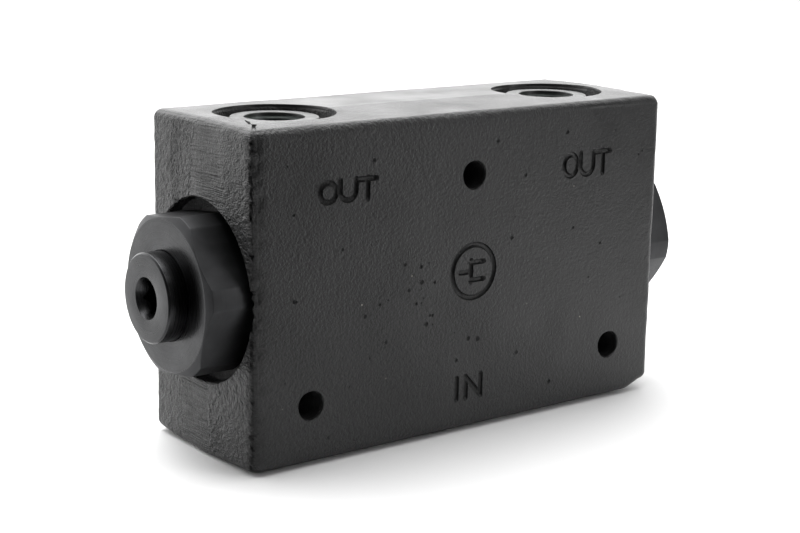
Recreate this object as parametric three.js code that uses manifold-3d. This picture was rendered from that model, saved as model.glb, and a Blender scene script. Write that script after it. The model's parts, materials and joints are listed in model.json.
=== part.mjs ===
// A flow control valve: a spool-type flow divider in a cast-iron block. Oil enters the inlet port in
// the bottom, and a floating spool shares it between the two outlet ports in the top.
//
// Millimetres, +Z up. The origin is on the surface that the valve stands on, under the block's centre.
// X runs along the spool, and the lettered front face looks along -Y. Each end of the valve is built
// once, for the +X end, and the left end is the same group turned half a turn about Z.

import * as THREE from "three";
import { ConvexGeometry } from "three/addons/geometries/ConvexGeometry.js";
import { mergeVertices } from "three/addons/utils/BufferGeometryUtils.js";
import Module from "manifold-3d";

const wasm = await Module();
wasm.setup();

// ---- Driving dimensions ----

// The casting. Its faces lean outwards to a parting line round the middle of its depth.
const BLOCK = { length: 132.2, depth: 47.3, height: 82.8, edgeRadius: 2.5, edgeSteps: 4 };
const DRAFT = { ends: 0.5, top: 0.4, bottom: 1.0 };
const FETTLED_OFF_BOTTOM = 0.3;
const CORNER_RISE = DRAFT.bottom - FETTLED_OFF_BOTTOM;
const TOP_LEVEL = CORNER_RISE + BLOCK.height;
const AXIS_RISE = 40.9;
const AXIS_HEIGHT = CORNER_RISE + AXIS_RISE;

// The spool bore and its chambers, as radii and as distances from the middle of the block.
const BORE_RADIUS = 12.05;
const CHAMBER_RADIUS = 15.5;
const INLET_CHAMBER_END = 7;
const OUTLET_CHAMBER = { start: 27, end: 37 };

// The screwed socket for an end cap, and the round recess that the cap's hexagon stands in.
const RECESS = { radius: 22.7, depth: 4 };
const RECESS_FLOOR = BLOCK.length / 2 - RECESS.depth;
const CAP_SOCKET = { radius: 16.7, inner: 49.7 };
const CAP_SEAL_SEAT = { radius: 18.6, depth: 3.35 };

// A straight-thread port: spot face, seal chamfer, tapping hole and the cored way to its chamber. The
// wall round the spot face flares a little, so a fitting's washer face drops in freely. A shallow
// relief round the seal chamfer keeps the plug's flange off the face that a washer bears on.
const PORT = {
  spotRadius: 15.1,
  spotDepth: 2.6,
  spotWallSlope: 0.05,
  reliefRadius: 11.4,
  reliefDepth: 0.05,
  sealRadius: 10.3,
  sealDepth: 2.4,
  tapRadius: 8.75,
  tapDepth: 16.6,
  drillPoint: 3,
  passageRadius: 4.2,
};
const OUTLET_X = 44.7;
const OUTLET_PASSAGE = { topX: 41.5, topZ: 66, footX: 32.5, footZ: 55 };

// Three bolt holes that run from the front face to the back.
const BOLT_HOLE = { radius: 3.55, chamfer: 0.45 };
const BOLT_HOLE_PLACES = [
  { x: 0, z: AXIS_HEIGHT + 25.8 },
  { x: -49.5, z: AXIS_HEIGHT - 26.1 },
  { x: 49.5, z: AXIS_HEIGHT - 26.1 },
];

// The end cap: a hexagon with turned-down corners on a screwed spigot.
const CAP = {
  acrossFlats: 38.1,
  cornerRadius: 20.75,
  faceRadius: 18.75,
  turnedAngle: 7.2,
  under: RECESS_FLOOR + 0.3,
  face: BLOCK.length / 2 + 9.8,
  spigotRadius: 16.4,
  spigotEnd: 50.1,
  sealNeckRadius: 15.6,
  sealNeckEnd: 58.7,
};
const CAP_CHAMFER_SLOPE = Math.tan(THREE.MathUtils.degToRad(30));
const CAP_BORES = {
  springRadius: 10.6,
  webInner: 59,
  noseRadius: 5.07,
  webOuter: 61,
  threadRadius: 10.02,
  headInner: 69,
  headRadius: 11.07,
};
const CAP_SEAL = { ringRadius: 17.1, sectionRadius: 1.25, x: 60.15 };

// The adjuster screw: a round head with a hexagon socket, a fine thread, and a nose that limits the
// spool's stroke. It is built where it stands two turns short of its innermost setting.
const ADJUSTER = {
  face: CAP.face + 5.1,
  headRadius: 11,
  headChamfer: 0.6,
  headInner: 71.1,
  grooveOuter: 74.9,
  grooveInner: 72.2,
  grooveRadius: 9.45,
  threadRadius: 9.95,
  threadInner: 63.1,
  noseRadius: 5,
  noseTip: 50.8,
  noseChamfer: 0.8,
};
const SOCKET = { acrossFlats: 8, depth: 8, mouthRadius: 4.95, turnedAngle: 12 };
const HEAD_SEAL = { ringRadius: 10.25, sectionRadius: 0.72, x: 73.0 };
const BACKUP_RING = { inner: 9.5, outer: 11, from: 73.85, to: 74.75 };
const STOP_RING = { inner: 4.35, outer: 6.3, from: 56.7, to: 57.9, gap: 5 };
const STOP_RING_GROOVE = { radius: 4.25, from: 56.6, to: 58.0 };

// The spool, and what it carries.
const SPOOL = {
  radius: 11.98,
  halfLength: 47,
  waistRadius: 9.5,
  waistEnd: 8,
  coreRadius: 5.5,
  orificeSeat: 14,
  bowlRadius: 7,
  springSeat: 42,
  springRadius: 10.3,
  grooveDepth: 0.5,
  grooveWidth: 0.8,
};
const BALANCE_GROOVES = [41];
const INLET_HOLES = { radius: 2.5, count: 4, x: 0 };
const METERING_HOLES = { radius: 2.4, count: 4, x: OUTLET_CHAMBER.start };
const ORIFICE = { radius: 6.9, holeRadius: 1.6, from: 14.1, to: 16.1 };
const ORIFICE_RING = { inner: 5.9, outer: 7.5, from: 16.3, to: 17.3, gap: 4 };
const ORIFICE_RING_GROOVE = { radius: 7.6, from: 16.2, to: 17.4 };
const SPRING_SEAT = {
  radius: 10.15,
  from: 42.1,
  to: 44.1,
  pilotRadius: 7.3,
  pilotEnd: 45.3,
  holeRadius: 1.1,
  holeCircle: 4.5,
};

// The centring spring, between its seat in the spool and a shim on the cap's web.
const SPRING = { wireRadius: 0.9, ringRadius: 8.6, turns: 4.5, from: 44.2, to: 57.9 };
const SPRING_SHIM = { inner: 7, outer: 10.4, from: 58.0, to: 58.9 };

// The hollow plastic plug that closes a port for storage.
const PLUG = {
  flangeRadius: 11.1,
  rimBelowTop: 0.85,
  flangeThickness: 1.65,
  stemRadius: 8.6,
  stemEndRadius: 8.1,
  stemLength: 12,
  hollowRadius: 7.5,
  hollowEndRadius: 7.1,
  floorThickness: 1.3,
};

// How finely round shapes are faceted.
const FACETS = { recess: 56, large: 32, medium: 24, small: 12, wire: 6, springStepsPerTurn: 10 };

// ---- Materials ----

const finish = (color, roughness, metalness) =>
  new THREE.MeshStandardMaterial({ color, roughness, metalness });
const MATERIALS = {
  blackPaint: finish(0x2c2c2d, 0.5, 0),
  blackOxide: finish(0x35353a, 0.38, 0.9),
  groundSteel: finish(0xb9bcc0, 0.25, 1),
  springSteel: finish(0x8d9094, 0.35, 1),
  brass: finish(0xc2a35c, 0.3, 1),
  rubber: finish(0x141414, 0.7, 0),
  sealOffWhite: finish(0xe6e3d6, 0.5, 0),
  plugPlastic: finish(0xe4e8df, 0.4, 0),
};

// ---- From geometries to solids and back ----

// A closed three.js geometry as a solid that can be cut and joined.
function solidOf(geometry) {
  const bare = geometry.clone();
  bare.deleteAttribute("normal");
  bare.deleteAttribute("uv");
  const merged = mergeVertices(bare, 1e-4);
  return new wasm.Manifold(
    new wasm.Mesh({
      numProp: 3,
      vertProperties: new Float32Array(merged.attributes.position.array),
      triVerts: new Uint32Array(merged.index.array),
    }),
  );
}

// A solid as a flat-shaded three.js geometry.
function geometryOf(solid) {
  const mesh = solid.getMesh();
  const geometry = new THREE.BufferGeometry();
  geometry.setAttribute("position", new THREE.BufferAttribute(mesh.vertProperties, 3));
  geometry.setIndex(new THREE.BufferAttribute(mesh.triVerts, 1));
  geometry.computeVertexNormals();
  return geometry;
}

// A solid turned about an axis. The outline is a list of [along the axis, radius] points, which
// closes on itself or starts and ends on the axis.
function turned(outline, axis, facets) {
  const closed = outline[0][1] === 0 ? outline : [...outline, outline[0]];
  const points = closed.map(([along, radius]) => new THREE.Vector2(radius, along));
  if (THREE.ShapeUtils.area(points) < 0) points.reverse();
  const geometry = new THREE.LatheGeometry(points, facets);
  if (axis === "x") geometry.rotateZ(-Math.PI / 2);
  if (axis === "z") geometry.rotateX(Math.PI / 2);
  return solidOf(geometry);
}

// A plain tube about X, from one place to another.
const ring = ({ inner, outer, from, to }, facets) =>
  turned([[from, inner], [from, outer], [to, outer], [to, inner]], "x", facets);

// A plain round bar about X.
const bar = (from, to, radius, facets) =>
  turned([[from, 0], [from, radius], [to, radius], [to, 0]], "x", facets);

// An O-ring about X.
function sealRing({ ringRadius, sectionRadius, x }) {
  const geometry = new THREE.TorusGeometry(ringRadius, sectionRadius, FACETS.wire, FACETS.large);
  geometry.rotateY(Math.PI / 2);
  geometry.translate(x, 0, 0);
  return solidOf(geometry);
}

// A six-sided bar about X. At turnedAngle 0 it has a flat on top, and the angle leans +Z towards -Y.
function hexBar(from, to, acrossFlats, turnedAngle) {
  const cornerRadius = acrossFlats / 2 / Math.cos(Math.PI / 6);
  const geometry = new THREE.CylinderGeometry(cornerRadius, cornerRadius, to - from, 6);
  geometry.rotateZ(-Math.PI / 2);
  geometry.rotateX(THREE.MathUtils.degToRad(30 + turnedAngle));
  geometry.translate((from + to) / 2, 0, 0);
  return solidOf(geometry);
}

// Holes drilled square to X, evenly round it, from one side to the other.
function crossHoles({ radius, count, x }, reach) {
  const holes = [];
  for (let i = 0; i < count / 2; i += 1) {
    const geometry = new THREE.CylinderGeometry(radius, radius, reach * 2, FACETS.small);
    geometry.rotateX((i * 2 * Math.PI) / count);
    geometry.translate(x, 0, 0);
    holes.push(solidOf(geometry));
  }
  return holes;
}

const cutAll = (solid, tools) => tools.reduce((left, tool) => left.subtract(tool), solid);

// A slot through a snap ring, so that it is a C rather than an O.
function ringGap({ outer, from, to, gap }) {
  const geometry = new THREE.BoxGeometry(to - from + 1, gap, outer * 2);
  geometry.translate((from + to) / 2, 0, outer);
  return solidOf(geometry);
}

const snapRing = (size) => ring(size, FACETS.large).subtract(ringGap(size));

// The same outline on both sides of the middle, run from the -X end to the +X end.
const mirrored = (half) => [...half.map(([x, radius]) => [-x, radius]).reverse(), ...half];

// ---- The casting ----

// The block's outer shape: rounded front and back outlines, hulled with the wider outline that the
// drafted faces meet at on the parting plane.
function castBlock() {
  const { length, depth, edgeRadius, edgeSteps } = BLOCK;
  const points = [];
  const cornerX = length / 2 - edgeRadius;
  const cornerY = depth / 2 - edgeRadius;
  const lowZ = CORNER_RISE + edgeRadius;
  const highZ = TOP_LEVEL - edgeRadius;
  for (const sx of [-1, 1]) {
    for (const high of [false, true]) {
      const sz = high ? 1 : -1;
      const cornerZ = high ? highZ : lowZ;
      const rise = high ? DRAFT.top : DRAFT.bottom;
      for (let i = 0; i <= edgeSteps; i += 1) {
        const round = (i / edgeSteps) * (Math.PI / 2);
        const out = edgeRadius * Math.cos(round);
        const up = edgeRadius * Math.sin(round);
        points.push(new THREE.Vector3(sx * (cornerX + DRAFT.ends + out), 0, cornerZ + sz * (rise + up)));
        for (const sy of [-1, 1]) {
          for (let k = 0; k <= edgeSteps; k += 1) {
            const lean = (k / edgeSteps) * (Math.PI / 2);
            points.push(
              new THREE.Vector3(
                sx * (cornerX + out * Math.cos(lean)),
                sy * (cornerY + edgeRadius * Math.sin(lean)),
                cornerZ + sz * up * Math.cos(lean),
              ),
            );
          }
        }
      }
    }
  }
  return solidOf(new ConvexGeometry(points));
}

// Everything bored from the two ends, on the spool's axis.
function axialBores() {
  const past = BLOCK.length / 2 + 5;
  const sealSeatEnd = RECESS_FLOOR - CAP_SEAL_SEAT.depth;
  const half = [
    [INLET_CHAMBER_END, CHAMBER_RADIUS],
    [INLET_CHAMBER_END, BORE_RADIUS],
    [OUTLET_CHAMBER.start, BORE_RADIUS],
    [OUTLET_CHAMBER.start, CHAMBER_RADIUS],
    [OUTLET_CHAMBER.end, CHAMBER_RADIUS],
    [OUTLET_CHAMBER.end, BORE_RADIUS],
    [CAP_SOCKET.inner, BORE_RADIUS],
    [CAP_SOCKET.inner, CAP_SOCKET.radius],
    [sealSeatEnd, CAP_SOCKET.radius],
    [sealSeatEnd, CAP_SEAL_SEAT.radius],
    [past, CAP_SEAL_SEAT.radius],
    [past, 0],
  ];
  return turned(mirrored(half), "x", FACETS.large).translate([0, 0, AXIS_HEIGHT]);
}

// The round recess in the +X end face.
const capRecess = () =>
  bar(RECESS_FLOOR, BLOCK.length, RECESS.radius, FACETS.recess).translate([0, 0, AXIS_HEIGHT]);

// A port in the top face, at x = 0 and with its spot face measured down from the corner level.
function portCavity() {
  const spot = TOP_LEVEL - PORT.spotDepth;
  const past = TOP_LEVEL + 5;
  const tapEnd = spot - PORT.tapDepth;
  return turned(
    [
      [past, 0],
      [past, PORT.spotRadius + PORT.spotWallSlope * (past - spot)],
      [spot, PORT.spotRadius],
      [spot, PORT.reliefRadius],
      [spot - PORT.reliefDepth, PORT.reliefRadius],
      [spot - PORT.reliefDepth, PORT.sealRadius],
      [spot - PORT.sealDepth, PORT.tapRadius],
      [tapEnd, PORT.tapRadius],
      [tapEnd - PORT.drillPoint, 0],
    ],
    "z",
    FACETS.medium,
  );
}

// The slanting way from an outlet port to its chamber, at the +X end.
function outletPassage() {
  const { topX, topZ, footX, footZ } = OUTLET_PASSAGE;
  const along = new THREE.Vector3(topX - footX, 0, topZ - footZ);
  const geometry = new THREE.CylinderGeometry(
    PORT.passageRadius,
    PORT.passageRadius,
    along.length(),
    FACETS.small,
  );
  geometry.rotateZ(-Math.atan2(along.x, along.z));
  geometry.rotateX(Math.PI / 2);
  geometry.translate((topX + footX) / 2, 0, (topZ + footZ) / 2);
  return solidOf(geometry);
}

// The upright way from the inlet port to the middle chamber.
function inletPassage() {
  const top = AXIS_HEIGHT - BORE_RADIUS;
  const foot = CORNER_RISE + PORT.spotDepth + PORT.tapDepth - 1;
  const outline = [[foot, 0], [foot, PORT.passageRadius], [top, PORT.passageRadius], [top, 0]];
  return turned(outline, "z", FACETS.small);
}

function boltHole({ x, z }) {
  const face = BLOCK.depth / 2;
  const { radius, chamfer } = BOLT_HOLE;
  const half = [
    [face - chamfer, radius],
    [face, radius + chamfer],
    [face + 1, radius + chamfer],
    [face + 1, 0],
  ];
  return turned(mirrored(half), "y", FACETS.small).translate([x, 0, z]);
}

function fettledUnderside() {
  const geometry = new THREE.BoxGeometry(BLOCK.length * 2, BLOCK.depth * 2, 10);
  geometry.translate(0, 0, -5);
  return solidOf(geometry);
}

function valveBody() {
  const outlet = portCavity().translate([OUTLET_X, 0, 0]);
  const outletWay = outlet.add(outletPassage());
  const halfTurn = [0, 0, 180];
  const inlet = portCavity().rotate([180, 0, 0]).translate([0, 0, TOP_LEVEL + CORNER_RISE]);
  return cutAll(castBlock(), [
    fettledUnderside(),
    axialBores(),
    capRecess(),
    capRecess().rotate(halfTurn),
    outletWay,
    outletWay.rotate(halfTurn),
    inlet.add(inletPassage()),
    ...BOLT_HOLE_PLACES.map(boltHole),
  ]);
}

// ---- The end cap and the adjuster, built for the +X end on the spool's axis ----

function endCap() {
  const chamfer = (CAP.cornerRadius - CAP.faceRadius) * CAP_CHAMFER_SLOPE;
  const blank = turned(
    [
      [CAP.under, 0],
      [CAP.under, CAP.cornerRadius],
      [CAP.face - chamfer, CAP.cornerRadius],
      [CAP.face, CAP.faceRadius],
      [CAP.face, 0],
    ],
    "x",
    FACETS.large,
  );
  const hexagon = blank.intersect(
    hexBar(CAP.under - 1, CAP.face + 1, CAP.acrossFlats, CAP.turnedAngle),
  );
  const spigot = turned(
    [
      [CAP.spigotEnd, 0],
      [CAP.spigotEnd, CAP.spigotRadius - 1],
      [CAP.spigotEnd + 1, CAP.spigotRadius],
      [CAP.sealNeckEnd, CAP.spigotRadius],
      [CAP.sealNeckEnd, CAP.sealNeckRadius],
      [CAP.under + 1, CAP.sealNeckRadius],
      [CAP.under + 1, 0],
    ],
    "x",
    FACETS.large,
  );
  const bores = turned(
    [
      [CAP.spigotEnd - 1, 0],
      [CAP.spigotEnd - 1, CAP_BORES.springRadius],
      [CAP_BORES.webInner, CAP_BORES.springRadius],
      [CAP_BORES.webInner, CAP_BORES.noseRadius],
      [CAP_BORES.webOuter, CAP_BORES.noseRadius],
      [CAP_BORES.webOuter, CAP_BORES.threadRadius],
      [CAP_BORES.headInner, CAP_BORES.threadRadius],
      [CAP_BORES.headInner, CAP_BORES.headRadius],
      [CAP.face + 1, CAP_BORES.headRadius],
      [CAP.face + 1, 0],
    ],
    "x",
    FACETS.large,
  );
  return hexagon.add(spigot).subtract(bores);
}

function adjusterScrew() {
  const { face, headRadius, headChamfer, noseRadius, noseTip, noseChamfer } = ADJUSTER;
  const mouthDepth = SOCKET.mouthRadius - SOCKET.acrossFlats / 2;
  const shank = turned(
    [
      [noseTip, 0],
      [noseTip, noseRadius - noseChamfer],
      [noseTip + noseChamfer, noseRadius],
      [STOP_RING_GROOVE.from, noseRadius],
      [STOP_RING_GROOVE.from, STOP_RING_GROOVE.radius],
      [STOP_RING_GROOVE.to, STOP_RING_GROOVE.radius],
      [STOP_RING_GROOVE.to, noseRadius],
      [ADJUSTER.threadInner, noseRadius],
      [ADJUSTER.threadInner, ADJUSTER.threadRadius],
      [ADJUSTER.headInner, ADJUSTER.threadRadius],
      [ADJUSTER.headInner, headRadius],
      [ADJUSTER.grooveInner, headRadius],
      [ADJUSTER.grooveInner, ADJUSTER.grooveRadius],
      [ADJUSTER.grooveOuter, ADJUSTER.grooveRadius],
      [ADJUSTER.grooveOuter, headRadius],
      [face - headChamfer, headRadius],
      [face, headRadius - headChamfer],
      [face, 0],
    ],
    "x",
    FACETS.large,
  );
  const mouth = turned(
    [
      [face - SOCKET.mouthRadius, 0],
      [face + mouthDepth, SOCKET.mouthRadius + mouthDepth],
      [face + mouthDepth, 0],
    ],
    "x",
    FACETS.small,
  );
  const socket = hexBar(face - SOCKET.depth, face + 1, SOCKET.acrossFlats, SOCKET.turnedAngle);
  return cutAll(shank, [socket, mouth]);
}

// The centring spring's wire runs along a helix about X.
class Helix extends THREE.Curve {
  getPoint(t, target = new THREE.Vector3()) {
    const { ringRadius, wireRadius, turns, from, to } = SPRING;
    const turn = t * turns * 2 * Math.PI;
    const start = from + wireRadius * 1.05;
    const travel = to - from - wireRadius * 2.1;
    return target.set(start + t * travel, ringRadius * Math.cos(turn), ringRadius * Math.sin(turn));
  }
}

function centringSpring() {
  const section = new THREE.Shape();
  for (let i = 0; i < FACETS.wire; i += 1) {
    const angle = (i / FACETS.wire) * 2 * Math.PI;
    const x = SPRING.wireRadius * Math.cos(angle);
    const y = SPRING.wireRadius * Math.sin(angle);
    if (i === 0) section.moveTo(x, y);
    else section.lineTo(x, y);
  }
  section.closePath();
  const steps = Math.round(SPRING.turns * FACETS.springStepsPerTurn);
  const options = { steps, bevelEnabled: false, extrudePath: new Helix() };
  return solidOf(new THREE.ExtrudeGeometry(section, options));
}

// ---- The spool and what it carries ----

function spool() {
  const { radius, halfLength, grooveDepth, grooveWidth } = SPOOL;
  const grooves = BALANCE_GROOVES.flatMap((x) => [
    [x, radius],
    [x, radius - grooveDepth],
    [x + grooveWidth, radius - grooveDepth],
    [x + grooveWidth, radius],
  ]);
  const outside = mirrored([
    [SPOOL.waistEnd, SPOOL.waistRadius],
    [SPOOL.waistEnd, radius],
    ...grooves,
    [halfLength, radius],
    [halfLength, 0],
  ]);
  const inside = mirrored([
    [SPOOL.orificeSeat, SPOOL.coreRadius],
    [SPOOL.orificeSeat, SPOOL.bowlRadius],
    [ORIFICE_RING_GROOVE.from, SPOOL.bowlRadius],
    [ORIFICE_RING_GROOVE.from, ORIFICE_RING_GROOVE.radius],
    [ORIFICE_RING_GROOVE.to, ORIFICE_RING_GROOVE.radius],
    [ORIFICE_RING_GROOVE.to, SPOOL.bowlRadius],
    [SPOOL.springSeat, SPOOL.bowlRadius],
    [SPOOL.springSeat, SPOOL.springRadius],
    [halfLength + 1, SPOOL.springRadius],
    [halfLength + 1, 0],
  ]);
  const reach = radius + 1;
  return cutAll(turned(outside, "x", FACETS.large), [
    turned(inside, "x", FACETS.large),
    ...crossHoles(INLET_HOLES, reach),
    ...crossHoles(METERING_HOLES, reach),
    ...crossHoles({ ...METERING_HOLES, x: -METERING_HOLES.x }, reach),
  ]);
}

function orificePlate() {
  const { radius, holeRadius, from, to } = ORIFICE;
  return ring({ inner: holeRadius, outer: radius, from, to }, FACETS.medium);
}

function springSeat() {
  const { radius, from, to, pilotRadius, pilotEnd, holeRadius, holeCircle } = SPRING_SEAT;
  const disc = turned(
    [[from, 0], [from, radius], [to, radius], [to, pilotRadius], [pilotEnd, pilotRadius], [pilotEnd, 0]],
    "x",
    FACETS.medium,
  );
  const drill = bar(from - 1, pilotEnd + 1, holeRadius, FACETS.small);
  const holes = [0, 90, 180, 270].map((angle) =>
    drill.translate([0, holeCircle, 0]).rotate([angle, 0, 0]),
  );
  return cutAll(disc, holes);
}

// ---- The port plug, built for a port in the top face at x = 0 ----

function portPlug() {
  const rim = TOP_LEVEL - PLUG.rimBelowTop;
  const stemTop = rim - PLUG.flangeThickness;
  const stemEnd = stemTop - PLUG.stemLength;
  return turned(
    [
      [stemEnd, 0],
      [stemEnd, PLUG.stemEndRadius],
      [stemTop, PLUG.stemRadius],
      [stemTop, PLUG.flangeRadius],
      [rim, PLUG.flangeRadius],
      [rim, PLUG.hollowRadius],
      [stemEnd + PLUG.floorThickness, PLUG.hollowEndRadius],
      [stemEnd + PLUG.floorThickness, 0],
    ],
    "z",
    FACETS.medium,
  );
}

// ---- The valve ----

function piece(name, solid, material) {
  const mesh = new THREE.Mesh(geometryOf(solid), material);
  mesh.name = name;
  return mesh;
}

// The pieces at one end, on the spool's axis. The left end is turned half a turn about Z.
function endPieces(side) {
  const end = new THREE.Group();
  end.position.z = AXIS_HEIGHT;
  if (side === "left") end.rotation.z = Math.PI;
  const { blackOxide, rubber, sealOffWhite, springSteel, groundSteel, brass } = MATERIALS;
  end.add(
    piece(`${side}_end_cap`, endCap(), blackOxide),
    piece(`${side}_cap_o_ring`, sealRing(CAP_SEAL), rubber),
    piece(`${side}_adjuster_screw`, adjusterScrew(), blackOxide),
    piece(`${side}_adjuster_o_ring`, sealRing(HEAD_SEAL), rubber),
    piece(`${side}_adjuster_backup_ring`, ring(BACKUP_RING, FACETS.large), sealOffWhite),
    piece(`${side}_adjuster_stop_ring`, snapRing(STOP_RING), springSteel),
    piece(`${side}_spring_shim`, ring(SPRING_SHIM, FACETS.medium), groundSteel),
    piece(`${side}_centring_spring`, centringSpring(), springSteel),
    piece(`${side}_spring_seat`, springSeat(), groundSteel),
    piece(`${side}_orifice_plate`, orificePlate(), brass),
    piece(`${side}_orifice_snap_ring`, snapRing(ORIFICE_RING), springSteel),
  );
  return end;
}

const valve = new THREE.Group();

valve.add(piece("valve_body", valveBody(), MATERIALS.blackPaint));

const spoolPiece = piece("spool", spool(), MATERIALS.groundSteel);
spoolPiece.position.z = AXIS_HEIGHT;
valve.add(spoolPiece, endPieces("left"), endPieces("right"));

for (const [name, x] of [["left_out_port_plug", -OUTLET_X], ["right_out_port_plug", OUTLET_X]]) {
  const plug = piece(name, portPlug(), MATERIALS.plugPlastic);
  plug.position.x = x;
  valve.add(plug);
}

const inletPlug = piece("in_port_plug", portPlug(), MATERIALS.plugPlastic);
inletPlug.rotation.x = Math.PI;
inletPlug.position.z = TOP_LEVEL + CORNER_RISE;
valve.add(inletPlug);

export default valve;
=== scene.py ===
"""The looks of the flow control valve: a cast block, two screwed end caps with adjusters, three
storage plugs and everything inside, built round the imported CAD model.

Lengths in this script are millimetres, and make_mesh() turns them into Blender's metres. The CAD's
frame is kept: X along the spool, the lettered front towards -Y, Z up. Each end of the valve is built
for the +X end, and the left end is turned half a turn about Z."""

import bpy
import bmesh
import json
from math import acos, atan2, cos, degrees, pi, radians, sin, sqrt, tan
import numpy as np
from mathutils import Matrix, Vector
from types import SimpleNamespace as Sizes

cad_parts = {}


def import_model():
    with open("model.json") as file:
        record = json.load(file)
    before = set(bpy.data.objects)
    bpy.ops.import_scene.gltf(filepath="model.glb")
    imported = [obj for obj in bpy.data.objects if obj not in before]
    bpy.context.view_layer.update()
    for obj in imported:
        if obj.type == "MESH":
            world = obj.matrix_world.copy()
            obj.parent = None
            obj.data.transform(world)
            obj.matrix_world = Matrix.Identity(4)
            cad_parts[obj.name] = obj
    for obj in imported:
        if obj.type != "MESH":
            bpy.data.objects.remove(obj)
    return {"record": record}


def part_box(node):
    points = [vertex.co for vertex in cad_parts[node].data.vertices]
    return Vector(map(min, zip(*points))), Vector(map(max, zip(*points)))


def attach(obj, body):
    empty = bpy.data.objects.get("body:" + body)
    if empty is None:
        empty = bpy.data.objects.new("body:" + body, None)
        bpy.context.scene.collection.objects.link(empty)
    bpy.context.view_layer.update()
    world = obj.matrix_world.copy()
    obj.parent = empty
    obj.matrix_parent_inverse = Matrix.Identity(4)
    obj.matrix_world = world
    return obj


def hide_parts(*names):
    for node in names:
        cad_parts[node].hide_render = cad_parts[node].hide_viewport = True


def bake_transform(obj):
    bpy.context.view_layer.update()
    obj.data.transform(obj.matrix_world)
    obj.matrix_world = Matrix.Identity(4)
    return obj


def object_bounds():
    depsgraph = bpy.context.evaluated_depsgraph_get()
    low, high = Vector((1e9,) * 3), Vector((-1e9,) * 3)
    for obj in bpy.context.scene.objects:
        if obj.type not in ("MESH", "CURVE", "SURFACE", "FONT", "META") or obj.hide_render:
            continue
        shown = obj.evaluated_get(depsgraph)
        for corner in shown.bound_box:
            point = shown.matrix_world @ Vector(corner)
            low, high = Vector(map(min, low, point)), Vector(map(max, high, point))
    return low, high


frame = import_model()
cad_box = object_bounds()

MM = 0.001
RECORD = frame["record"]
BODY_OF = {node: body for body, nodes in RECORD["behaviour"]["bodies"].items() for node in nodes}


def box_mm(node):
    """A CAD node's lowest and highest corners, in millimetres."""
    low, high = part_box(node)
    return np.array(low) / MM, np.array(high) / MM


# ---- Sizes, from the frame where it gives them ----

BLOCK_HIGH = box_mm("valve_body")[1]
SPOOL_LOW, SPOOL_HIGH = box_mm("spool")
AXIS = float(SPOOL_LOW[2] + SPOOL_HIGH[2]) / 2
CAP_END = float(box_mm("right_end_cap")[1][0])
CAP_INNER = float(box_mm("right_end_cap")[0][0])
HEAD_END = float(box_mm("right_adjuster_screw")[1][0])
NOSE_TIP = float(box_mm("right_adjuster_screw")[0][0])
PLUG_LOW, PLUG_HIGH = box_mm("right_out_port_plug")
OUTLET_X = float(PLUG_LOW[0] + PLUG_HIGH[0]) / 2

# The casting leans outwards to a parting ridge round the middle of its depth.
LEAN = Sizes(ends=0.5, top=0.4, bottom=1.0)
DRESSED_OFF = 0.3
HALF = np.array([
    BLOCK_HIGH[0] - LEAN.ends,
    BLOCK_HIGH[1],
    (BLOCK_HIGH[2] - LEAN.top - LEAN.bottom + DRESSED_OFF) / 2,
])
TOP = float(BLOCK_HIGH[2] - LEAN.top)
MIDDLE_Z = TOP - float(HALF[2])
EDGE_RADIUS = 2.4

RECESS = Sizes(radius=22.7, depth=4.0)
RECESS_FLOOR = float(HALF[0]) - RECESS.depth
SOCKET_BORE = Sizes(radius=16.7, inner=49.7, seat_radius=18.6, seat_depth=3.35, pitch=1.5)
PORT = Sizes(spot_radius=15.1, spot_depth=2.6, seal_radius=10.3, seal_depth=2.4, tap_radius=8.75,
             tap_depth=16.6, point=3.0, pitch=1.5875)
BORE = Sizes(radius=12.05, chamber=15.5, inlet_end=7.0, outlet_from=27.0, outlet_to=37.0)
WAY_RADIUS = 4.2
WAY_TOP, WAY_FOOT = OUTLET_X - 3.2, OUTLET_X - 12.2
# The ways from the ports to the bore, each between two places given as (x, z).
WAYS = [((WAY_TOP, 66), (WAY_FOOT, 55)), ((-WAY_TOP, 66), (-WAY_FOOT, 55)),
        ((0, 18.9), (0, AXIS - BORE.radius))]
BOLT_HOLE = Sizes(radius=3.55, lip=0.3)
BOLT_PLACES = [(0.0, AXIS + 25.8), (-49.5, AXIS - 26.1), (49.5, AXIS - 26.1)]

CAP = Sizes(flats=38.1, corner_radius=20.7, face_radius=18.75, turned=7.2, under=RECESS_FLOOR + 0.3,
            spigot_radius=16.35, neck_radius=15.6, neck_end=58.7)
CAP_BORE = Sizes(spring=10.6, web_inner=59.0, nose=5.07, web_outer=61.0, thread=10.02, head_inner=69.0,
                 head=11.07)
HEAD = Sizes(radius=11.0, inner=71.1, groove_from=72.2, groove_to=74.9, groove_radius=9.45,
             thread_radius=9.95, thread_inner=63.1, nose_radius=5.0)
KEY = Sizes(flats=8.0, depth=8.0, mouth_radius=5.2, mouth_slope=2.6, turned=12.0)
STOP_GROOVE = Sizes(radius=4.25, start=56.6, end=58.0)

# Rings are given by their inner and outer radius and by where they start and end along X.
STOP_RING = (4.35, 6.3, 56.72, 57.88)
ORIFICE_CLIP = (5.9, 7.5, 16.32, 17.28)
BACKUP_RING = (9.5, 10.98, 73.87, 74.73)
SHIM = (7.0, 10.38, 58.02, 58.88)
# A seal is given by the radius of its ring and of its section, and by its place along X.
CAP_SEAL = (17.1, 1.25, 60.15)
HEAD_SEAL = (10.25, 0.72, 73.0)

# The marks on the front: a word and its left, right, foot and head. STROKE is a groove's width.
PORT_WORDS = [("OUT", -47.3, -31.0, 64.9, 69.6), ("OUT", 30.6, 47.0, 64.1, 69.8),
              ("IN", -4.2, 3.8, 9.1, 14.5)]
STROKE = 1.5
FLOW_MARK = Sizes(x=0.4, z=42.5, across=13.8, stroke=1.4)
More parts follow.
